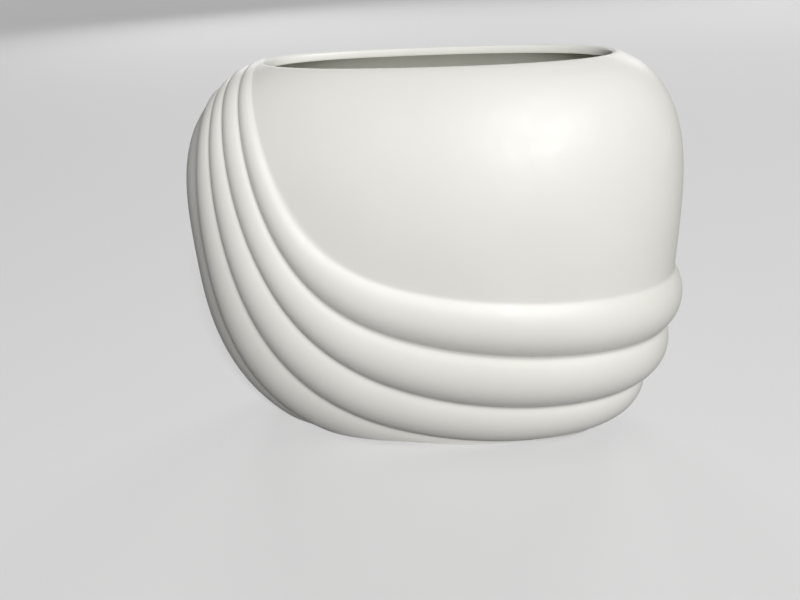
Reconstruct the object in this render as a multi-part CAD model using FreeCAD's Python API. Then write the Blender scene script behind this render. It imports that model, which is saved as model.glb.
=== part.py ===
import FreeCAD, Part
import math
import os

from FreeCAD import Vector

# Pillow vase: a slip-cast porcelain pillow with a slot mouth, draped by rolled folds
# that hang from its left shoulder and run round its right side.
# Millimetres. X runs along the length, Y through the thickness, Z up.
# The origin is on the floor, under the middle of the overall length.

# The plain pillow, before the folds stand out of it
LENGTH = 195.1
DEPTH = 95.4
HEIGHT = 156.2
WALL = 3.0
FLOOR = 6.0

# Where the pillow is widest, and where its rounded underside would close
WAIST_SHARE = 0.507
KEEL_SHARE = -0.13

# The folds stand out further at the right end, so the finished form moves left to centre it
CENTRING = 1.2

# Roundness of the pillow: 2 is an ellipse, more is squarer
PLAN_ROUNDNESS = 2.35
END_ROUNDNESS_ABOVE = 3.54
END_ROUNDNESS_BELOW = 2.57
FACE_ROUNDNESS_ABOVE = 2.14
FACE_ROUNDNESS_BELOW = 1.80

# Slot mouth, which goes straight down through the shoulder inside a narrow flat rim.
# The pillow leans to the right above its waist, and the mouth with it. A higher power keeps
# the lean nearer to the mouth.
MOUTH_LENGTH = 126.6
MOUTH_WIDTH = 45.8
MOUTH_OFFSET = 5.3
LEAN_POWER = 3.24
RIM = 1.0

# Low oval foot with a hollow underside
FOOT_LENGTH = 131.3
FOOT_WIDTH = 55.2
FOOT_ROUNDNESS = 2.13
FOOT_HEIGHT = 1.8
FOOT_RIM = 5.0
FOOT_RECESS = 1.2

# Clear glaze inside, and how far it lies off the wall
GLAZE = 0.3
GLAZE_CLEARANCE = 0.02

# Creases that bound the folds, seen from the front. Each hangs from a height on the left
# shoulder, rounds a corner and reaches a height on the right side. Heights are shares of
# HEIGHT, the corner's place along X is a share of half the LENGTH, and the last number is
# how closely the crease follows its corner. The last line is the keel, where the lowest
# fold closes out of sight under the foot.
CREASE_SHARES = (
    (0.9986, 0.485, -0.388, 0.493, 2.10),
    (0.9869, 0.336, -0.490, 0.340, 1.74),
    (0.9663, 0.183, -0.600, 0.106, 1.28),
    (0.9477, 0.044, -0.822, -0.113, 1.09),
    (0.9201, 0.003, -1.103, -0.350, 1.04),
    (-0.1020, -0.102, -0.440, -0.102, 1.90),
)

# How far each fold stands out, as a share of its width
FOLD_RISE_SHARES = (0.182, 0.168, 0.148, 0.095, 0.004)

# How finely the forms are drawn
LOOP_POINTS = 48
FOLD_LOOPS = 6
PANEL_LOOPS = 8
HOLLOW_LOOPS = 16

WAIST = WAIST_SHARE * HEIGHT
KEEL = KEEL_SHARE * HEIGHT


def swell(z, size, mouth, above, below, inset):
    """Half of the pillow's size at a height, from its waist in to the mouth and the keel."""
    half = size / 2 - inset
    if z >= WAIST:
        taper = (mouth + 2 * RIM) / size
        crown = (HEIGHT - WAIST) / (1 - taper ** above) ** (1 / above)
        reach = (z - WAIST) / (crown - inset)
        return half * (1 - reach ** above) ** (1 / above)
    reach = (WAIST - z) / (WAIST - KEEL - inset)
    return half * (1 - reach ** below) ** (1 / below)


def half_length(z, inset=0):
    return swell(z, LENGTH, MOUTH_LENGTH, END_ROUNDNESS_ABOVE, END_ROUNDNESS_BELOW, inset)


def half_depth(z, inset=0):
    return swell(z, DEPTH, MOUTH_WIDTH, FACE_ROUNDNESS_ABOVE, FACE_ROUNDNESS_BELOW, inset)


def middle(z):
    """Place along X of the middle of the pillow, which leans to the right above its waist."""
    return MOUTH_OFFSET * (max(z - WAIST, 0) / (HEIGHT - WAIST)) ** LEAN_POWER


def plainness(point):
    """Negative inside the plain pillow, zero on its surface and positive outside."""
    along = abs(point.x - middle(point.z)) / half_length(point.z)
    through = abs(point.y) / half_depth(point.z)
    return along ** PLAN_ROUNDNESS + through ** PLAN_ROUNDNESS - 1


def outward(point):
    """Unit normal of the plain pillow."""
    step = LENGTH / 10000
    slope = []
    for nudge in (Vector(step, 0, 0), Vector(0, step, 0), Vector(0, 0, step)):
        slope.append(plainness(point + nudge) - plainness(point - nudge))
    return Vector(*slope).normalize()


def closed_curve(front):
    """Smooth closed curve through a front line and its mirror image behind."""
    back = [Vector(point.x, -point.y, point.z) for point in reversed(front[1:-1])]
    places = [index / LOOP_POINTS for index in range(LOOP_POINTS + 1)]
    curve = Part.BSplineCurve()
    curve.interpolate(Points=front + back, PeriodicFlag=True, Parameters=places)
    return curve


def face_through(curves):
    """Smooth face through closed curves, which share their parameters."""
    places = [index / (len(curves) - 1) for index in range(len(curves))]
    runs = []
    for poles in zip(*[curve.getPoles() for curve in curves]):
        run = Part.BSplineCurve()
        run.interpolate(Points=list(poles), Parameters=places)
        runs.append(run)
    around = curves[0]
    across = runs[0]
    surface = Part.BSplineSurface()
    surface.buildFromPolesMultsKnots(
        [run.getPoles() for run in runs],
        around.getMultiplicities(), across.getMultiplicities(),
        around.getKnots(), across.getKnots(),
        True, False, around.Degree, across.Degree)
    return surface.toShape()


def solid_inside(faces):
    shell = Part.makeShell(faces)
    shell.sewShape()
    return Part.makeSolid(shell)


def flat_cap(curve):
    return Part.Face(Part.Wire(curve.toShape()))


def mixed(first, second, share):
    return [a + (b - a) * share for a, b in zip(first, second)]


def front_line(shares):
    """Points of a hanging line on the pillow's front, from the left shoulder to the right."""
    shoulder, side, corner_along, corner_up, pull = shares
    left = middle(shoulder * HEIGHT) - half_length(shoulder * HEIGHT)
    right = middle(side * HEIGHT) + half_length(side * HEIGHT)
    points = []
    for index in range(LOOP_POINTS // 2 + 1):
        turn = (1 - math.cos(2 * math.pi * index / LOOP_POINTS)) / 2
        start = (1 - turn) ** 2
        between = 2 * pull * turn * (1 - turn)
        end = turn ** 2
        whole = start + between + end
        x = (start * left + between * corner_along * LENGTH / 2 + end * right) / whole
        z = (start * shoulder + between * corner_up + end * side) / whole * HEIGHT
        along = abs(x - middle(z)) / half_length(z)
        through = max(1 - along ** PLAN_ROUNDNESS, 0) ** (1 / PLAN_ROUNDNESS)
        points.append(Vector(x, -half_depth(z) * through, z))
    return points


def arc_height(share, width, rise):
    """Height of a circular arc over its chord, at a share of the chord."""
    radius = width ** 2 / (8 * rise) + rise / 2
    off_middle = (share - 0.5) * width
    return math.sqrt(radius ** 2 - off_middle ** 2) - (radius - rise)


def fold_curve(upper, lower, share, rise_share):
    """One section of the rolled fold between two creases."""
    points = []
    lines = zip(front_line(mixed(upper, lower, share)), front_line(upper), front_line(lower))
    for point, high, low in lines:
        width = (low - high).Length
        points.append(point + outward(point) * arc_height(share, width, rise_share * width))
    return closed_curve(points)


def draped_pillow():
    """The folded form, closed above the mouth and below the foot."""
    creases = [closed_curve(front_line(shares)) for shares in CREASE_SHARES]
    rim_shares = (1, 1, MOUTH_OFFSET / (LENGTH / 2), 1, 1)
    panel = [creases[0]]
    for index in range(1, PANEL_LOOPS + 1):
        shares = mixed(CREASE_SHARES[0], rim_shares, index / PANEL_LOOPS)
        panel.append(closed_curve(front_line(shares)))
    faces = [face_through(panel), flat_cap(panel[-1])]
    for number, rise_share in enumerate(FOLD_RISE_SHARES):
        band = [creases[number]]
        for index in range(1, FOLD_LOOPS):
            share = index / FOLD_LOOPS
            upper = CREASE_SHARES[number]
            lower = CREASE_SHARES[number + 1]
            band.append(fold_curve(upper, lower, share, rise_share))
        band.append(creases[number + 1])
        faces.append(face_through(band))
    faces.append(flat_cap(creases[-1]))
    return solid_inside(faces)


def oval(length, width, roundness, z, offset=0):
    """Closed curve of a rounded oval at a height."""
    points = []
    for index in range(LOOP_POINTS // 2 + 1):
        angle = 2 * math.pi * index / LOOP_POINTS
        along = math.copysign(abs(math.cos(angle)) ** (2 / roundness), math.cos(angle))
        through = max(math.sin(angle), 0) ** (2 / roundness)
        points.append(Vector(offset - along * length / 2, -through * width / 2, z))
    return closed_curve(points)


def oval_block(length, width, roundness, bottom, top, offset=0):
    outline = oval(length, width, roundness, bottom, offset)
    return flat_cap(outline).extrude(Vector(0, 0, top - bottom))


def hollow(layer=0):
    """Room inside the wall and a layer on it, from the floor up into the mouth."""
    inset = WALL + layer
    bottom = FLOOR + layer
    top = HEIGHT - WALL / 2 - layer
    curves = []
    for index in range(HOLLOW_LOOPS + 1):
        z = bottom + (top - bottom) * index / HOLLOW_LOOPS
        length = 2 * half_length(z, inset)
        width = 2 * half_depth(z, inset)
        curves.append(oval(length, width, PLAN_ROUNDNESS, z, middle(z)))
    return solid_inside([face_through(curves), flat_cap(curves[0]), flat_cap(curves[-1])])


def mouth_slot():
    below = HEIGHT - 4 * WALL
    return oval_block(MOUTH_LENGTH, MOUTH_WIDTH, PLAN_ROUNDNESS, below, HEIGHT + WALL, MOUTH_OFFSET)


def vase_body():
    """The casting: draped outside, smooth inside, on a low foot."""
    under = Part.makeBox(2 * LENGTH, 2 * DEPTH, HEIGHT, Vector(-LENGTH, -DEPTH, FOOT_HEIGHT - HEIGHT))
    body = draped_pillow().cut(under)
    foot = oval_block(FOOT_LENGTH, FOOT_WIDTH, FOOT_ROUNDNESS, 0, FOOT_HEIGHT + WALL)
    recess = oval_block(FOOT_LENGTH - 2 * FOOT_RIM, FOOT_WIDTH - 2 * FOOT_RIM, FOOT_ROUNDNESS,
                        -FOOT_RECESS, FOOT_RECESS)
    return body.fuse(foot).cut(recess).cut(hollow()).cut(mouth_slot())


def glaze_lining():
    """Layer of glaze on the inside, up to the lower edge of the mouth."""
    outside = hollow(GLAZE_CLEARANCE).Shells[0]
    inside = hollow(GLAZE_CLEARANCE + GLAZE).Shells[0].reversed()
    return Part.makeSolid(Part.makeCompound([outside, inside])).cut(mouth_slot())


os.makedirs("parts", exist_ok=True)
for make in (vase_body, glaze_lining):
    shape = make()
    shape.translate(Vector(-CENTRING, 0, 0))
    shape.exportStep("parts/" + make.__name__ + ".step")
    print(make.__name__, shape.isValid(), len(shape.Solids), round(shape.Volume))
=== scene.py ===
import math

import bmesh
import bpy
import numpy as np
from mathutils import Matrix, Vector
from mathutils.kdtree import KDTree


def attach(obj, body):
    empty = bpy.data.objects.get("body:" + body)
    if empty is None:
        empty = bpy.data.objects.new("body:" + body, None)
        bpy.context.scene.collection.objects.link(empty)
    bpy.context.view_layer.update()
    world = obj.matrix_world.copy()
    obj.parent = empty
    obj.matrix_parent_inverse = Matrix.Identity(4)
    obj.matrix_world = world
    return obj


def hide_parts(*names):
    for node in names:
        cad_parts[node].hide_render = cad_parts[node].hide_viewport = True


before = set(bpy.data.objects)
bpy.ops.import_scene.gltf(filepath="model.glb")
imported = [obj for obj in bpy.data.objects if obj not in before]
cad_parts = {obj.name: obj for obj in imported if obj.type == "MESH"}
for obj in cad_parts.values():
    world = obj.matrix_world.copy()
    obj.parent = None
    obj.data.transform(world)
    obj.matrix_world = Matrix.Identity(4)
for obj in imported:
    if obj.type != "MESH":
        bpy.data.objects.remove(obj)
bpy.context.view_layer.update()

# The casting's form, in millimetres and in shares of its sizes, as in the CAD source
MM = 0.001
LENGTH = 195.1
DEPTH = 95.4
HEIGHT = 156.2
WALL = 3.0
FLOOR = 6.0
GLAZE = 0.3
GLAZE_CLEARANCE = 0.02
WAIST_SHARE = 0.507
KEEL_SHARE = -0.13
CENTRING = 1.2
PLAN_ROUNDNESS = 2.35
END_ROUNDNESS = (3.54, 2.57)
FACE_ROUNDNESS = (2.14, 1.80)
MOUTH_LENGTH = 126.6
MOUTH_WIDTH = 45.8
MOUTH_OFFSET = 5.3
LEAN_POWER = 3.24
RIM = 1.0
FOOT_LENGTH = 131.3
FOOT_WIDTH = 55.2
FOOT_ROUNDNESS = 2.13
FOOT_HEIGHT = 1.8
FOOT_RIM = 5.0
FOOT_RECESS = 1.2
CREASE_SHARES = (
    (0.9986, 0.485, -0.388, 0.493, 2.10),
    (0.9869, 0.336, -0.490, 0.340, 1.74),
    (0.9663, 0.183, -0.600, 0.106, 1.28),
    (0.9477, 0.044, -0.822, -0.113, 1.09),
    (0.9201, 0.003, -1.103, -0.350, 1.04),
    (-0.1020, -0.102, -0.440, -0.102, 1.90),
)
FOLD_RISE_SHARES = (0.182, 0.168, 0.148, 0.095, 0.004)

WAIST = WAIST_SHARE * HEIGHT
KEEL = KEEL_SHARE * HEIGHT

# How finely it is drawn: points round half of each loop, and rows across each part
HALF_LOOP = 150
CAVITY_ROWS = 29
SLOT_ROWS = 5
LIP_ROWS = 9
RIM_ROWS = 6
PANEL_TOP_ROWS = 8
FOLD_ROWS = 28
LAST_FOLD_ROWS = 56

# Soft edges. The lip's rounding starts a little way down the slot. Each edge takes in some rows
# on either side, and more rounds make it softer. The first crease is soft at the left of the
# loop and sharp from its middle on.
LIP_DEPTH = 1.2
LIP_ROUNDS = 160
LIP_REACH = (4, 5)
FIRST_CREASE_REACH = 7
FIRST_CREASE_ROUNDS = 10
SOFT_UNTIL_SHARE = 0.3
SHARP_FROM_SHARE = 0.5
SHARP_WEIGHT = 0.12
CREASE_REACH = 3
CREASE_ROUNDS = 2
FOOT_EDGE = 0.4
SHARP_ANGLE = math.radians(38)

# How far from the bottom of a crease its painted shade fades
PAINTED_SHADE_WIDTH = 0.6

# The camera: which way it looks, how far away it is, and the point it looks at
VIEW_TURN = -0.2039
VIEW_DOWN = 0.4663
VIEW_ROLL = -0.0661
VIEW_DISTANCE = 311.8
VIEW_POINT = (-12.60, 0.0, 54.86)
SENSOR_MM = 36
LENS_MM = 32.4

# Colours, each from its darker to its lighter end
BISQUE_WHITE = ((0.808, 0.797, 0.748), (0.828, 0.819, 0.773))
SPECK_TONE = (0.62, 0.59, 0.54)
# Painted shade: the darker colour laid into the bottoms of the creases, where shade falls
CREASE_PAINTED_SHADE = (0.47, 0.445, 0.39)
GLAZE_GREEN = ((0.74, 0.74, 0.665), (0.78, 0.78, 0.705))
PAPER_BOUNCE = ((0.07, 0.07, 0.07), (0.08, 0.08, 0.08))
PAPER_SEEN = (0.42, 0.42, 0.42)

# The studio, in metres: the floor's radius, its bend and the top of its wall
FLOOR_RADIUS = 2.5
BEND_RADIUS = 0.9
WALL_TOP = 2.8
BEND_STEPS = 12
STUDIO_SIDES = 96

# The lamps: each one's place, its size across and its power
LAMP_TARGET = (0, 0, 0.08)
LAMPS = {
    "key": ((0.670, -1.630, 1.190), 0.41, 42.0),
    "back_left": ((-0.85, 1.90, 1.05), 1.0, 11.5),
    "back_right": ((0.85, 1.90, 1.05), 1.0, 11.5),
}

# The world's strength on the object and as the camera sees it
WORLD_LIGHT = 0.02
WORLD_SEEN = 0.75


def swell(z, size, mouth, roundness, inset):
    """Half of the pillow's size at each height."""
    above, below = roundness
    half = size / 2 - inset
    taper = (mouth + 2 * RIM) / size
    crown = (HEIGHT - WAIST) / (1 - taper ** above) ** (1 / above)
    up = np.clip((z - WAIST) / (crown - inset), 0, 1)
    down = np.clip((WAIST - z) / (WAIST - KEEL - inset), 0, 1)
    high = half * (1 - up ** above) ** (1 / above)
    low = half * (1 - down ** below) ** (1 / below)
    return np.where(z >= WAIST, high, low)


def half_length(z, inset=0):
    return swell(z, LENGTH, MOUTH_LENGTH, END_ROUNDNESS, inset)


def half_depth(z, inset=0):
    return swell(z, DEPTH, MOUTH_WIDTH, FACE_ROUNDNESS, inset)


def middle(z):
    return MOUTH_OFFSET * (np.maximum(z - WAIST, 0) / (HEIGHT - WAIST)) ** LEAN_POWER


def plainness(points):
    x, y, z = points[..., 0], points[..., 1], points[..., 2]
    along = np.abs(x - middle(z)) / half_length(z)
    through = np.abs(y) / half_depth(z)
    return along ** PLAN_ROUNDNESS + through ** PLAN_ROUNDNESS - 1


def outward(points):
    """Unit normals of the plain pillow."""
    slopes = []
    for axis in range(3):
        nudge = np.zeros(3)
        nudge[axis] = LENGTH / 10000
        slopes.append(plainness(points + nudge) - plainness(points - nudge))
    slopes = np.stack(slopes, -1)
    return slopes / np.linalg.norm(slopes, axis=-1, keepdims=True)


def looped(front):
    """A whole loop from its front half and the mirror image behind."""
    back = front[-2:0:-1] * np.array((1, -1, 1))
    return np.concatenate((front, back))


def hanging_line(shares):
    """Loop that hangs on the plain pillow from its left shoulder and rises to its right side."""
    shoulder, side, corner_along, corner_up, pull = shares
    high, low = np.array(shoulder * HEIGHT), np.array(side * HEIGHT)
    left = middle(high) - half_length(high)
    right = middle(low) + half_length(low)
    turn = (1 - np.cos(np.linspace(0, math.pi, HALF_LOOP + 1))) / 2
    start, between, end = (1 - turn) ** 2, 2 * pull * turn * (1 - turn), turn ** 2
    whole = start + between + end
    x = (start * left + between * corner_along * LENGTH / 2 + end * right) / whole
    z = (start * high + between * corner_up * HEIGHT + end * low) / whole
    along = np.abs(x - middle(z)) / half_length(z)
    through = np.clip(1 - along ** PLAN_ROUNDNESS, 0, 1) ** (1 / PLAN_ROUNDNESS)
    return looped(np.stack((x, -half_depth(z) * through, z), -1))


def mixed(first, second, share):
    return [a + (b - a) * share for a, b in zip(first, second)]


def arc_height(share, width, rise_share):
    """Height of a circular arc over its chord."""
    radius = width * (1 / (8 * rise_share) + rise_share / 2)
    off_middle = (share - 0.5) * width
    return np.sqrt(radius ** 2 - off_middle ** 2) - (radius - rise_share * width)


def fold_row(upper, lower, share, rise_share):
    line = hanging_line(mixed(upper, lower, share))
    width = np.linalg.norm(hanging_line(lower) - hanging_line(upper), axis=-1)
    return line + outward(line) * arc_height(share, width, rise_share)[:, None]


def oval(length, width, roundness, z, offset=0):
    """Oval loop whose points run as those of the hanging lines do."""
    place = -np.cos(np.linspace(0, math.pi, HALF_LOOP + 1))
    through = np.clip(1 - np.abs(place) ** roundness, 0, 1) ** (1 / roundness)
    height = np.full(place.shape, z)
    return looped(np.stack((offset + place * length / 2, -through * width / 2, height), -1))


def cavity_rows(layer=0.0):
    """Rows of the inside or a layer on it, from the floor up to where it meets the slot's wall."""
    inset, bottom = WALL + layer, FLOOR + layer
    slot = oval(MOUTH_LENGTH, MOUTH_WIDTH, PLAN_ROUNDNESS, HEIGHT, MOUTH_OFFSET)
    low, high = np.full(len(slot), WAIST), np.full(len(slot), HEIGHT - WALL / 2)
    halvings = 40
    for _ in range(halvings):
        guess = (low + high) / 2
        along = np.abs(slot[:, 0] - middle(guess)) / half_length(guess, inset)
        through = np.abs(slot[:, 1]) / half_depth(guess, inset)
        outside = along ** PLAN_ROUNDNESS + through ** PLAN_ROUNDNESS > 1
        high = np.where(outside, guess, high)
        low = np.where(outside, low, guess)
    meet = (low + high) / 2
    along = (slot[:, 0] - middle(meet)) / half_length(meet, inset)
    through = slot[:, 1] / half_depth(meet, inset)
    rows = []
    for share in (1 - np.cos(np.linspace(0, math.pi, CAVITY_ROWS))) / 2:
        z = bottom + (meet - bottom) * share
        x = middle(z) + along * half_length(z, inset)
        rows.append(np.stack((x, through * half_depth(z, inset), z), -1))
    return rows, meet


def casting_rows():
    """All rows, from the cavity's floor over the rim and down the outside, and its landmarks."""
    rows, meet = cavity_rows()
    slot = oval(MOUTH_LENGTH, MOUTH_WIDTH, PLAN_ROUNDNESS, HEIGHT, MOUTH_OFFSET)
    for share in np.linspace(0, 1, SLOT_ROWS + 2)[1:-1]:
        wall = slot.copy()
        wall[:, 2] = meet + (HEIGHT - LIP_DEPTH - meet) * share
        rows.append(wall)
    lip_start = len(rows)
    for drop in np.linspace(LIP_DEPTH, 0, LIP_ROWS):
        rows.append(slot - np.array((0, 0, drop)))
    for share in np.linspace(0, 1, RIM_ROWS + 1)[1:]:
        grow = 2 * RIM * share
        rows.append(oval(MOUTH_LENGTH + grow, MOUTH_WIDTH + grow, PLAN_ROUNDNESS, HEIGHT, MOUTH_OFFSET))
    rim = (1, 1, MOUTH_OFFSET / (LENGTH / 2), 1, 1)
    lip_end = len(rows) + PANEL_TOP_ROWS
    places = np.concatenate((np.linspace(0, 0.02, PANEL_TOP_ROWS + 1)[1:], np.linspace(0.02, 0.06, 7)[1:],
                             np.linspace(0.06, 0.94, 56)[1:], np.linspace(0.94, 1, 8)[1:-1]))
    for share in places:
        rows.append(hanging_line(mixed(rim, CREASE_SHARES[0], share)))
    creases = []
    for number, rise in enumerate(FOLD_RISE_SHARES):
        creases.append(len(rows))
        upper, lower = CREASE_SHARES[number:number + 2]
        count = LAST_FOLD_ROWS if number == len(FOLD_RISE_SHARES) - 1 else FOLD_ROWS
        for index in range(count):
            rows.append(fold_row(upper, lower, index / count, rise))
    rows.append(hanging_line(CREASE_SHARES[-1]))
    return np.array(rows), lip_start, lip_end, creases


def softened(rows, first, last, rounds, around=1.0):
    """Rounds the rows off between two places, across the rows, most in the middle."""
    weight = np.sin(np.linspace(0, math.pi, last - first + 1))[:, None, None] ** 0.5
    weight = weight * np.reshape(around, (1, -1, 1))
    for _ in range(rounds):
        between = (rows[first - 1:last] + rows[first + 1:last + 2]) / 2
        rows[first:last + 1] += 0.5 * weight * (between - rows[first:last + 1])


def placed(points):
    """Millimetres in the form's own frame to metres in the part's frame."""
    return (np.asarray(points) - np.array((CENTRING, 0, 0))) * MM


def ring_faces(bm, first, second):
    count = len(first)
    for index in range(count):
        after = (index + 1) % count
        bm.faces.new((first[index], first[after], second[after], second[index]))


def object_from(bm, name):
    """Object of a closed mesh, with its normals outwards."""
    bmesh.ops.recalc_face_normals(bm, faces=bm.faces[:])
    mesh = bpy.data.meshes.new(name)
    bm.to_mesh(mesh)
    bm.free()
    piece = bpy.data.objects.new(name, mesh)
    bpy.context.scene.collection.objects.link(piece)
    return piece


def smoothed(mesh):
    mesh.polygons.foreach_set("use_smooth", [True] * len(mesh.polygons))
    mesh.set_sharp_from_angle(angle=SHARP_ANGLE)


def make_foot():
    """The low foot, from inside the body down to its rounded edge and up into its recess."""
    inner_length, inner_width = FOOT_LENGTH - 2 * FOOT_RIM, FOOT_WIDTH - 2 * FOOT_RIM
    profile = [(0, FOOT_HEIGHT + WALL), (0, FOOT_EDGE)]
    for angle in (0.4, 0.8, 1.2, math.pi / 2):
        profile.append((FOOT_EDGE * (1 - math.cos(angle)), FOOT_EDGE * (1 - math.sin(angle))))
    loops = [oval(FOOT_LENGTH - 2 * inset, FOOT_WIDTH - 2 * inset, FOOT_ROUNDNESS, z) for inset, z in profile]
    loops.append(oval(inner_length + FOOT_EDGE, inner_width + FOOT_EDGE, FOOT_ROUNDNESS, 0))
    loops.append(oval(inner_length, inner_width, FOOT_ROUNDNESS, FOOT_EDGE / 2))
    loops.append(oval(inner_length, inner_width, FOOT_ROUNDNESS, FOOT_RECESS))
    bm = bmesh.new()
    rings = [[bm.verts.new(point) for point in placed(loop)] for loop in loops]
    for first, second in zip(rings, rings[1:]):
        ring_faces(bm, first, second)
    bm.faces.new(rings[0])
    bm.faces.new(rings[-1])
    return object_from(bm, "foot")


def soft_edges(rows, lip_start, lip_end, creases):
    softened(rows, lip_start - LIP_REACH[0], lip_end + LIP_REACH[1], LIP_ROUNDS)
    place = np.concatenate((np.arange(HALF_LOOP), np.arange(HALF_LOOP, 0, -1))) / HALF_LOOP
    softness = np.interp(place, (SOFT_UNTIL_SHARE, SHARP_FROM_SHARE), (1.0, SHARP_WEIGHT))
    first = creases[0]
    softened(rows, first - FIRST_CREASE_REACH, first + FIRST_CREASE_REACH, FIRST_CREASE_ROUNDS, softness)
    for row in creases[1:]:
        softened(rows, row - CREASE_REACH, row + CREASE_REACH, CREASE_ROUNDS)


def joined(piece, other):
    """Adds one closed object to another with an exact union, and removes the other."""
    join = piece.modifiers.new("join", "BOOLEAN")
    join.operation = "UNION"
    join.solver = "EXACT"
    join.object = other
    whole = piece.evaluated_get(bpy.context.evaluated_depsgraph_get())
    mesh = bpy.data.meshes.new_from_object(whole)
    piece.modifiers.clear()
    piece.data = mesh
    bpy.data.objects.remove(other)


def make_casting():
    """The body in one skin, cut off level under its folds and joined to its foot."""
    rows, lip_start, lip_end, creases = casting_rows()
    soft_edges(rows, lip_start, lip_end, creases)
    bm = bmesh.new()
    rings = [[bm.verts.new(point) for point in placed(row)] for row in rows]
    for first, second in zip(rings, rings[1:]):
        ring_faces(bm, first, second)
    bm.faces.new(rings[0])
    everything = bm.verts[:] + bm.edges[:] + bm.faces[:]
    cut = bmesh.ops.bisect_plane(bm, geom=everything, dist=1e-8, plane_co=(0, 0, FOOT_HEIGHT * MM),
                                 plane_no=(0, 0, 1), clear_inner=True)
    edges = [item for item in cut["geom_cut"] if isinstance(item, bmesh.types.BMEdge)]
    bmesh.ops.contextual_create(bm, geom=edges)
    piece = object_from(bm, "casting")
    joined(piece, make_foot())
    smoothed(piece.data)
    mark_painted_crease_shade(piece.data, rows, creases)
    return piece


def make_lining():
    """The glaze: a thin closed skin over the cavity, which ends at the slot's wall."""
    outside = cavity_rows(GLAZE_CLEARANCE)[0]
    inside = cavity_rows(GLAZE_CLEARANCE + GLAZE)[0]
    bm = bmesh.new()
    rings = [[bm.verts.new(point) for point in placed(row)] for row in inside + outside[::-1]]
    for first, second in zip(rings, rings[1:]):
        ring_faces(bm, first, second)
    bm.faces.new(rings[0])
    bm.faces.new(rings[-1])
    piece = object_from(bm, "lining")
    smoothed(piece.data)
    return piece


def mark_painted_crease_shade(mesh, rows, creases):
    """Stores how close each point is to the bottom of a crease, from 0 to 1, as the mask for the shade
    painted into the creases.
    """
    lines = placed(np.concatenate([rows[row] for row in creases[1:]]))
    tree = KDTree(len(lines))
    for index, point in enumerate(lines):
        tree.insert(point, index)
    tree.balance()
    near = mesh.attributes.new("crease", "FLOAT", "POINT")
    values = []
    for vertex in mesh.vertices:
        distance = tree.find(vertex.co)[2] / MM
        values.append(math.exp(-(distance / PAINTED_SHADE_WIDTH) ** 2))
    near.data.foreach_set("value", values)


def node_material(name):
    material = bpy.data.materials.new(name)
    material.use_nodes = True
    tree = material.node_tree
    shader = tree.nodes["Principled BSDF"]
    return material, tree, shader


def noise(tree, scale, detail, roughness=0.5):
    place = tree.nodes.new("ShaderNodeTexCoord")
    node = tree.nodes.new("ShaderNodeTexNoise")
    node.inputs["Scale"].default_value = scale
    node.inputs["Detail"].default_value = detail
    node.inputs["Roughness"].default_value = roughness
    tree.links.new(place.outputs["Object"], node.inputs["Vector"])
    return node.outputs["Fac"]


def spread(tree, value, source, result):
    """Maps one range of a value onto another."""
    node = tree.nodes.new("ShaderNodeMapRange")
    for name, number in zip(("From Min", "From Max", "To Min", "To Max"), source + result):
        node.inputs[name].default_value = number
    tree.links.new(value, node.inputs["Value"])
    return node.outputs["Result"]


def blended(tree, share, first, second):
    node = tree.nodes.new("ShaderNodeMix")
    node.data_type = "RGBA"
    tree.links.new(share, node.inputs["Factor"])
    for socket, colour in ((node.inputs[6], first), (node.inputs[7], second)):
        if isinstance(colour, tuple):
            socket.default_value = (*colour, 1)
        else:
            tree.links.new(colour, socket)
    return node.outputs[2]


def bump(tree, shader, height, distance, strength, before=None):
    node = tree.nodes.new("ShaderNodeBump")
    node.inputs["Distance"].default_value = distance
    node.inputs["Strength"].default_value = strength
    tree.links.new(height, node.inputs["Height"])
    if before:
        tree.links.new(before, node.inputs["Normal"])
    tree.links.new(node.outputs["Normal"], shader.inputs["Normal"])
    return node.outputs["Normal"]


def bisque():
    """Unglazed polished porcelain: matt, warm white, with a fine grain and faint clouding, and shade painted
    darker into the bottoms of the creases.
    """
    material, tree, shader = node_material("bisque_porcelain")
    cloud = spread(tree, noise(tree, scale=28, detail=3), (0.35, 0.65), (0, 1))
    colour = blended(tree, cloud, *BISQUE_WHITE)
    speck = spread(tree, noise(tree, scale=900, detail=2, roughness=0.6), (0.70, 0.80), (0, 0.10))
    colour = blended(tree, speck, colour, SPECK_TONE)
    # Painted shade: the colour darkens towards the bottom of each crease, where shade falls
    crease = tree.nodes.new("ShaderNodeAttribute")
    crease.attribute_name = "crease"
    painted_shade = spread(tree, crease.outputs["Fac"], (0, 1), (0, 0.30))
    colour = blended(tree, painted_shade, colour, CREASE_PAINTED_SHADE)
    tree.links.new(colour, shader.inputs["Base Color"])
    matt = spread(tree, noise(tree, scale=160, detail=4), (0.3, 0.7), (0.46, 0.53))
    tree.links.new(matt, shader.inputs["Roughness"])
    shader.inputs["Specular IOR Level"].default_value = 0.6
    waves = noise(tree, scale=90, detail=2)
    soft = bump(tree, shader, waves, distance=0.0002, strength=0.10)
    grain = noise(tree, scale=3200, detail=3, roughness=0.7)
    bump(tree, shader, grain, distance=0.00003, strength=0.25, before=soft)
    return material


def glaze():
    """Clear glaze over the inside, which pools to a faint grey green."""
    material, tree, shader = node_material("inside_glaze")
    pool = spread(tree, noise(tree, scale=22, detail=3), (0.35, 0.65), (0, 1))
    colour = blended(tree, pool, *GLAZE_GREEN)
    tree.links.new(colour, shader.inputs["Base Color"])
    ripple = spread(tree, noise(tree, scale=60, detail=2), (0.3, 0.7), (0.10, 0.16))
    tree.links.new(ripple, shader.inputs["Roughness"])
    shader.inputs["Coat Weight"].default_value = 0.5
    shader.inputs["Coat Roughness"].default_value = 0.05
    bump(tree, shader, noise(tree, scale=70, detail=2), distance=0.0003, strength=0.12)
    return material


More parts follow.
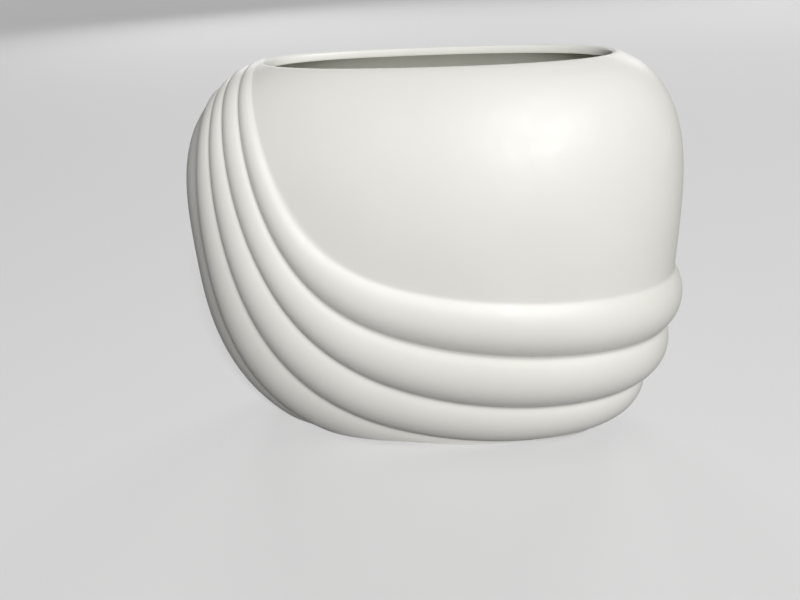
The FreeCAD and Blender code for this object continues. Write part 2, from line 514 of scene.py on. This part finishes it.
def studio_surface():
    """Plain pale paper, which shows paler to the camera than it throws light back."""
    material, tree, shader = node_material("studio_paper")
    cloud = spread(tree, noise(tree, scale=3, detail=2), (0.3, 0.7), (0, 1))
    bounce = blended(tree, cloud, *PAPER_BOUNCE)
    path = tree.nodes.new("ShaderNodeLightPath")
    seen = tree.nodes.new("ShaderNodeMath")
    seen.operation = "MAXIMUM"
    tree.links.new(path.outputs["Is Camera Ray"], seen.inputs[0])
    tree.links.new(path.outputs["Is Glossy Ray"], seen.inputs[1])
    colour = blended(tree, seen.outputs[0], bounce, PAPER_SEEN)
    tree.links.new(colour, shader.inputs["Base Color"])
    glow = tree.nodes.new("ShaderNodeMath")
    glow.operation = "MULTIPLY_ADD"
    tree.links.new(path.outputs["Is Camera Ray"], glow.inputs[0])
    glow.inputs[1].default_value = 0.36
    mirrored = tree.nodes.new("ShaderNodeMath")
    mirrored.operation = "MULTIPLY"
    tree.links.new(path.outputs["Is Glossy Ray"], mirrored.inputs[0])
    mirrored.inputs[1].default_value = 0.05
    tree.links.new(mirrored.outputs[0], glow.inputs[2])
    shader.inputs["Emission Color"].default_value = (1, 1, 1, 1)
    tree.links.new(glow.outputs[0], shader.inputs["Emission Strength"])
    shader.inputs["Roughness"].default_value = 0.9
    shader.inputs["Specular IOR Level"].default_value = 0.1
    return material


def make_studio():
    """Round floor that curves up into a wall behind and all round."""
    profile = [(FLOOR_RADIUS, 0.0)]
    for index in range(1, BEND_STEPS + 1):
        angle = math.pi / 2 * index / BEND_STEPS
        outwards, upwards = math.sin(angle), 1 - math.cos(angle)
        profile.append((FLOOR_RADIUS + BEND_RADIUS * outwards, BEND_RADIUS * upwards))
    profile.append((FLOOR_RADIUS + BEND_RADIUS, WALL_TOP))
    bm = bmesh.new()
    centre = bm.verts.new((0, 0, 0))
    rings = []
    for radius, z in profile:
        ring = []
        for index in range(STUDIO_SIDES):
            angle = 2 * math.pi * index / STUDIO_SIDES
            ring.append(bm.verts.new((radius * math.cos(angle), radius * math.sin(angle), z)))
        rings.append(ring)
    for index in range(STUDIO_SIDES):
        bm.faces.new((centre, rings[0][index], rings[0][(index + 1) % STUDIO_SIDES]))
    for first, second in zip(rings, rings[1:]):
        ring_faces(bm, first, second)
    studio = object_from(bm, "studio")
    smoothed(studio.data)
    studio.data.materials.append(studio_surface())
    return studio


def soft_lamp(name, place, size, power):
    """Round area lamp that points at the vase."""
    light = bpy.data.lights.new(name, "AREA")
    light.shape = "DISK"
    light.size = size
    light.energy = power
    lamp = bpy.data.objects.new(name, light)
    lamp.location = place
    lamp.rotation_euler = (Vector(LAMP_TARGET) - Vector(place)).to_track_quat("-Z", "Y").to_euler()
    bpy.context.scene.collection.objects.link(lamp)


def make_world():
    world = bpy.data.worlds.new("studio")
    world.use_nodes = True
    tree = world.node_tree
    shader = tree.nodes["Background"]
    path = tree.nodes.new("ShaderNodeLightPath")
    seen = tree.nodes.new("ShaderNodeMix")
    tree.links.new(path.outputs["Is Camera Ray"], seen.inputs[0])
    seen.inputs[2].default_value = WORLD_LIGHT
    seen.inputs[3].default_value = WORLD_SEEN
    tree.links.new(seen.outputs[0], shader.inputs["Strength"])
    shader.inputs["Color"].default_value = (1, 1, 1, 1)
    bpy.context.scene.world = world


def make_camera():
    ahead = Vector((math.sin(VIEW_TURN) * math.cos(VIEW_DOWN), math.cos(VIEW_TURN) * math.cos(VIEW_DOWN),
                    -math.sin(VIEW_DOWN)))
    level = ahead.cross(Vector((0, 0, 1))).normalized()
    upright = level.cross(ahead)
    right = math.cos(VIEW_ROLL) * level + math.sin(VIEW_ROLL) * upright
    up = math.cos(VIEW_ROLL) * upright - math.sin(VIEW_ROLL) * level
    place = Vector(VIEW_POINT) - VIEW_DISTANCE * ahead - Vector((CENTRING, 0, 0))
    camera = bpy.data.cameras.new("camera")
    camera.sensor_width = SENSOR_MM
    camera.lens = LENS_MM
    camera.clip_start = 0.01
    holder = bpy.data.objects.new("camera", camera)
    turn = Matrix((right, up, -ahead)).transposed().to_4x4()
    holder.matrix_world = Matrix.Translation(place * MM) @ turn
    bpy.context.scene.collection.objects.link(holder)
    bpy.context.scene.camera = holder


casting = make_casting()
casting.data.materials.append(bisque())
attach(casting, "root")
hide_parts("vase_body")

lining = make_lining()
lining.data.materials.append(glaze())
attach(lining, "root")
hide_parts("glaze_lining")

make_studio()
make_world()
for lamp_name, (lamp_place, lamp_size, lamp_power) in LAMPS.items():
    soft_lamp(lamp_name, lamp_place, lamp_size, lamp_power)
make_camera()
bpy.context.scene.view_settings.view_transform = "Standard"
